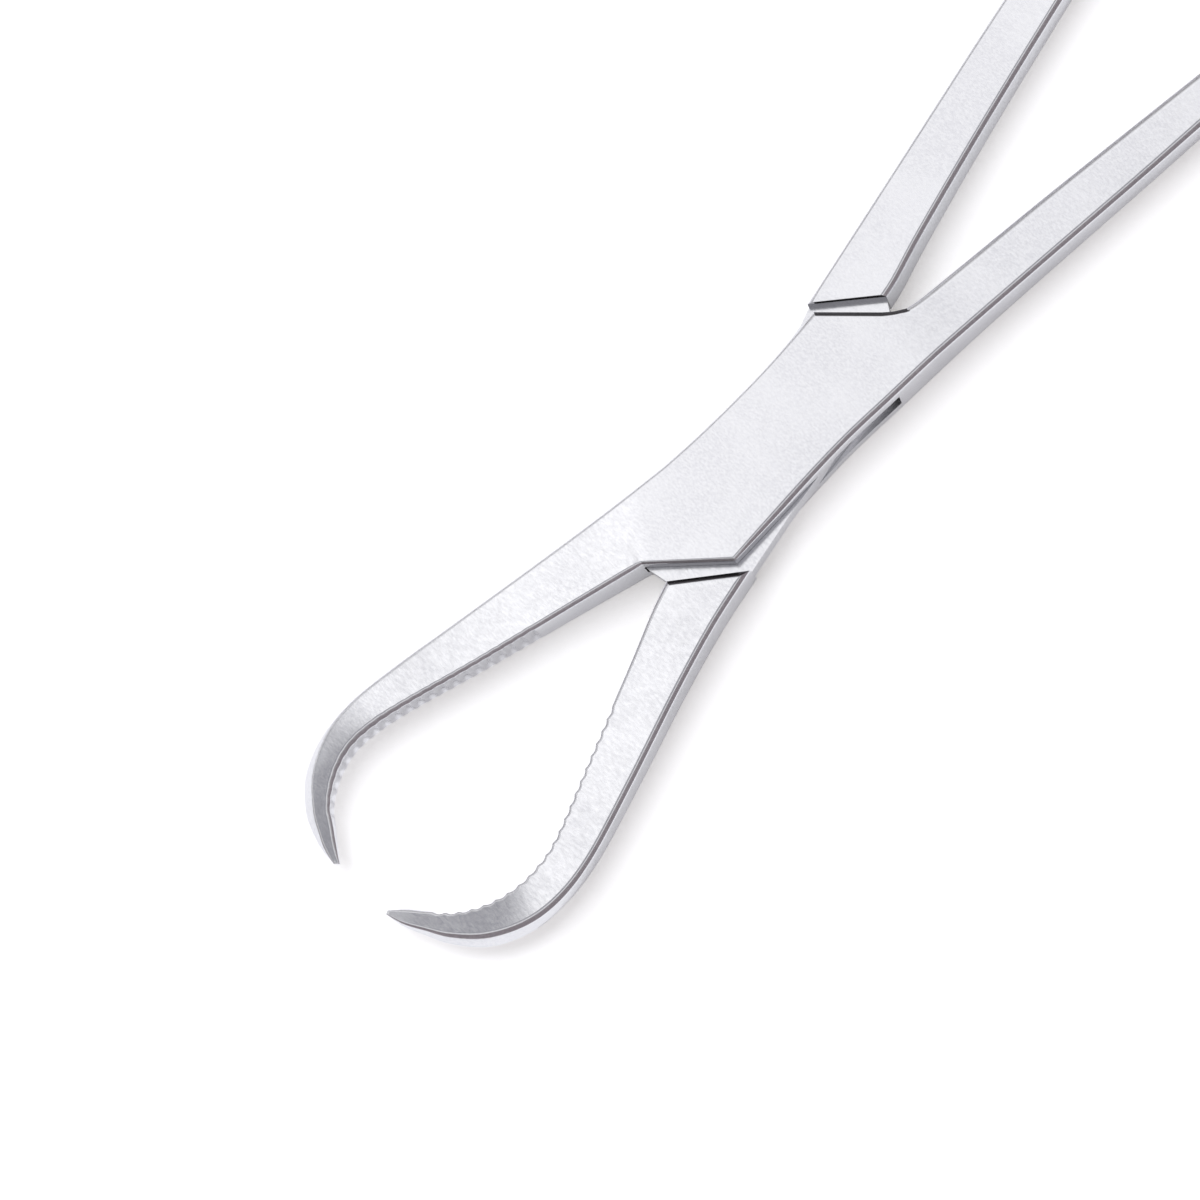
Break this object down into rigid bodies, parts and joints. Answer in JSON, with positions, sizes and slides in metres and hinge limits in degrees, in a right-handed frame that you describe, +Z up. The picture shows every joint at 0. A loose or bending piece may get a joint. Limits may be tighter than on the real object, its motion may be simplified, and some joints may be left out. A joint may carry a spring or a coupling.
{
  "type": "pointed bone reduction forceps",
  "caption": "Slender box-lock forceps with pointed, serrated claw jaws, finger rings and a ratchet, for gripping bone fragments.",
  "frame": {"origin": "on the pivot's axis, in the lower face of the box lock, which rests on the table", "axes": "+X along the forceps from the jaws to the finger rings, +Z up, square to the box lock's faces, +Y to the side of the box arm's jaw"},
  "size_m": [0.2001, 0.077, 0.0067],
  "materials": {
    "forged_steel": "satin",
    "pin_steel": "satin"
  },
  "bodies": {
    "box_arm_body": {"box_arm": "forged_steel", "pivot_pin": "pin_steel"},
    "tongue_arm_body": {"tongue_arm": "forged_steel"}
  },
  "joints": [
    {"name": "box_lock", "type": "hinge", "parent": "box_arm_body", "child": "tongue_arm_body", "pos_m": [0, 0, 0.00335], "axis": [0, 0, 1], "range_deg": [-6.2, 40]}
  ]
}
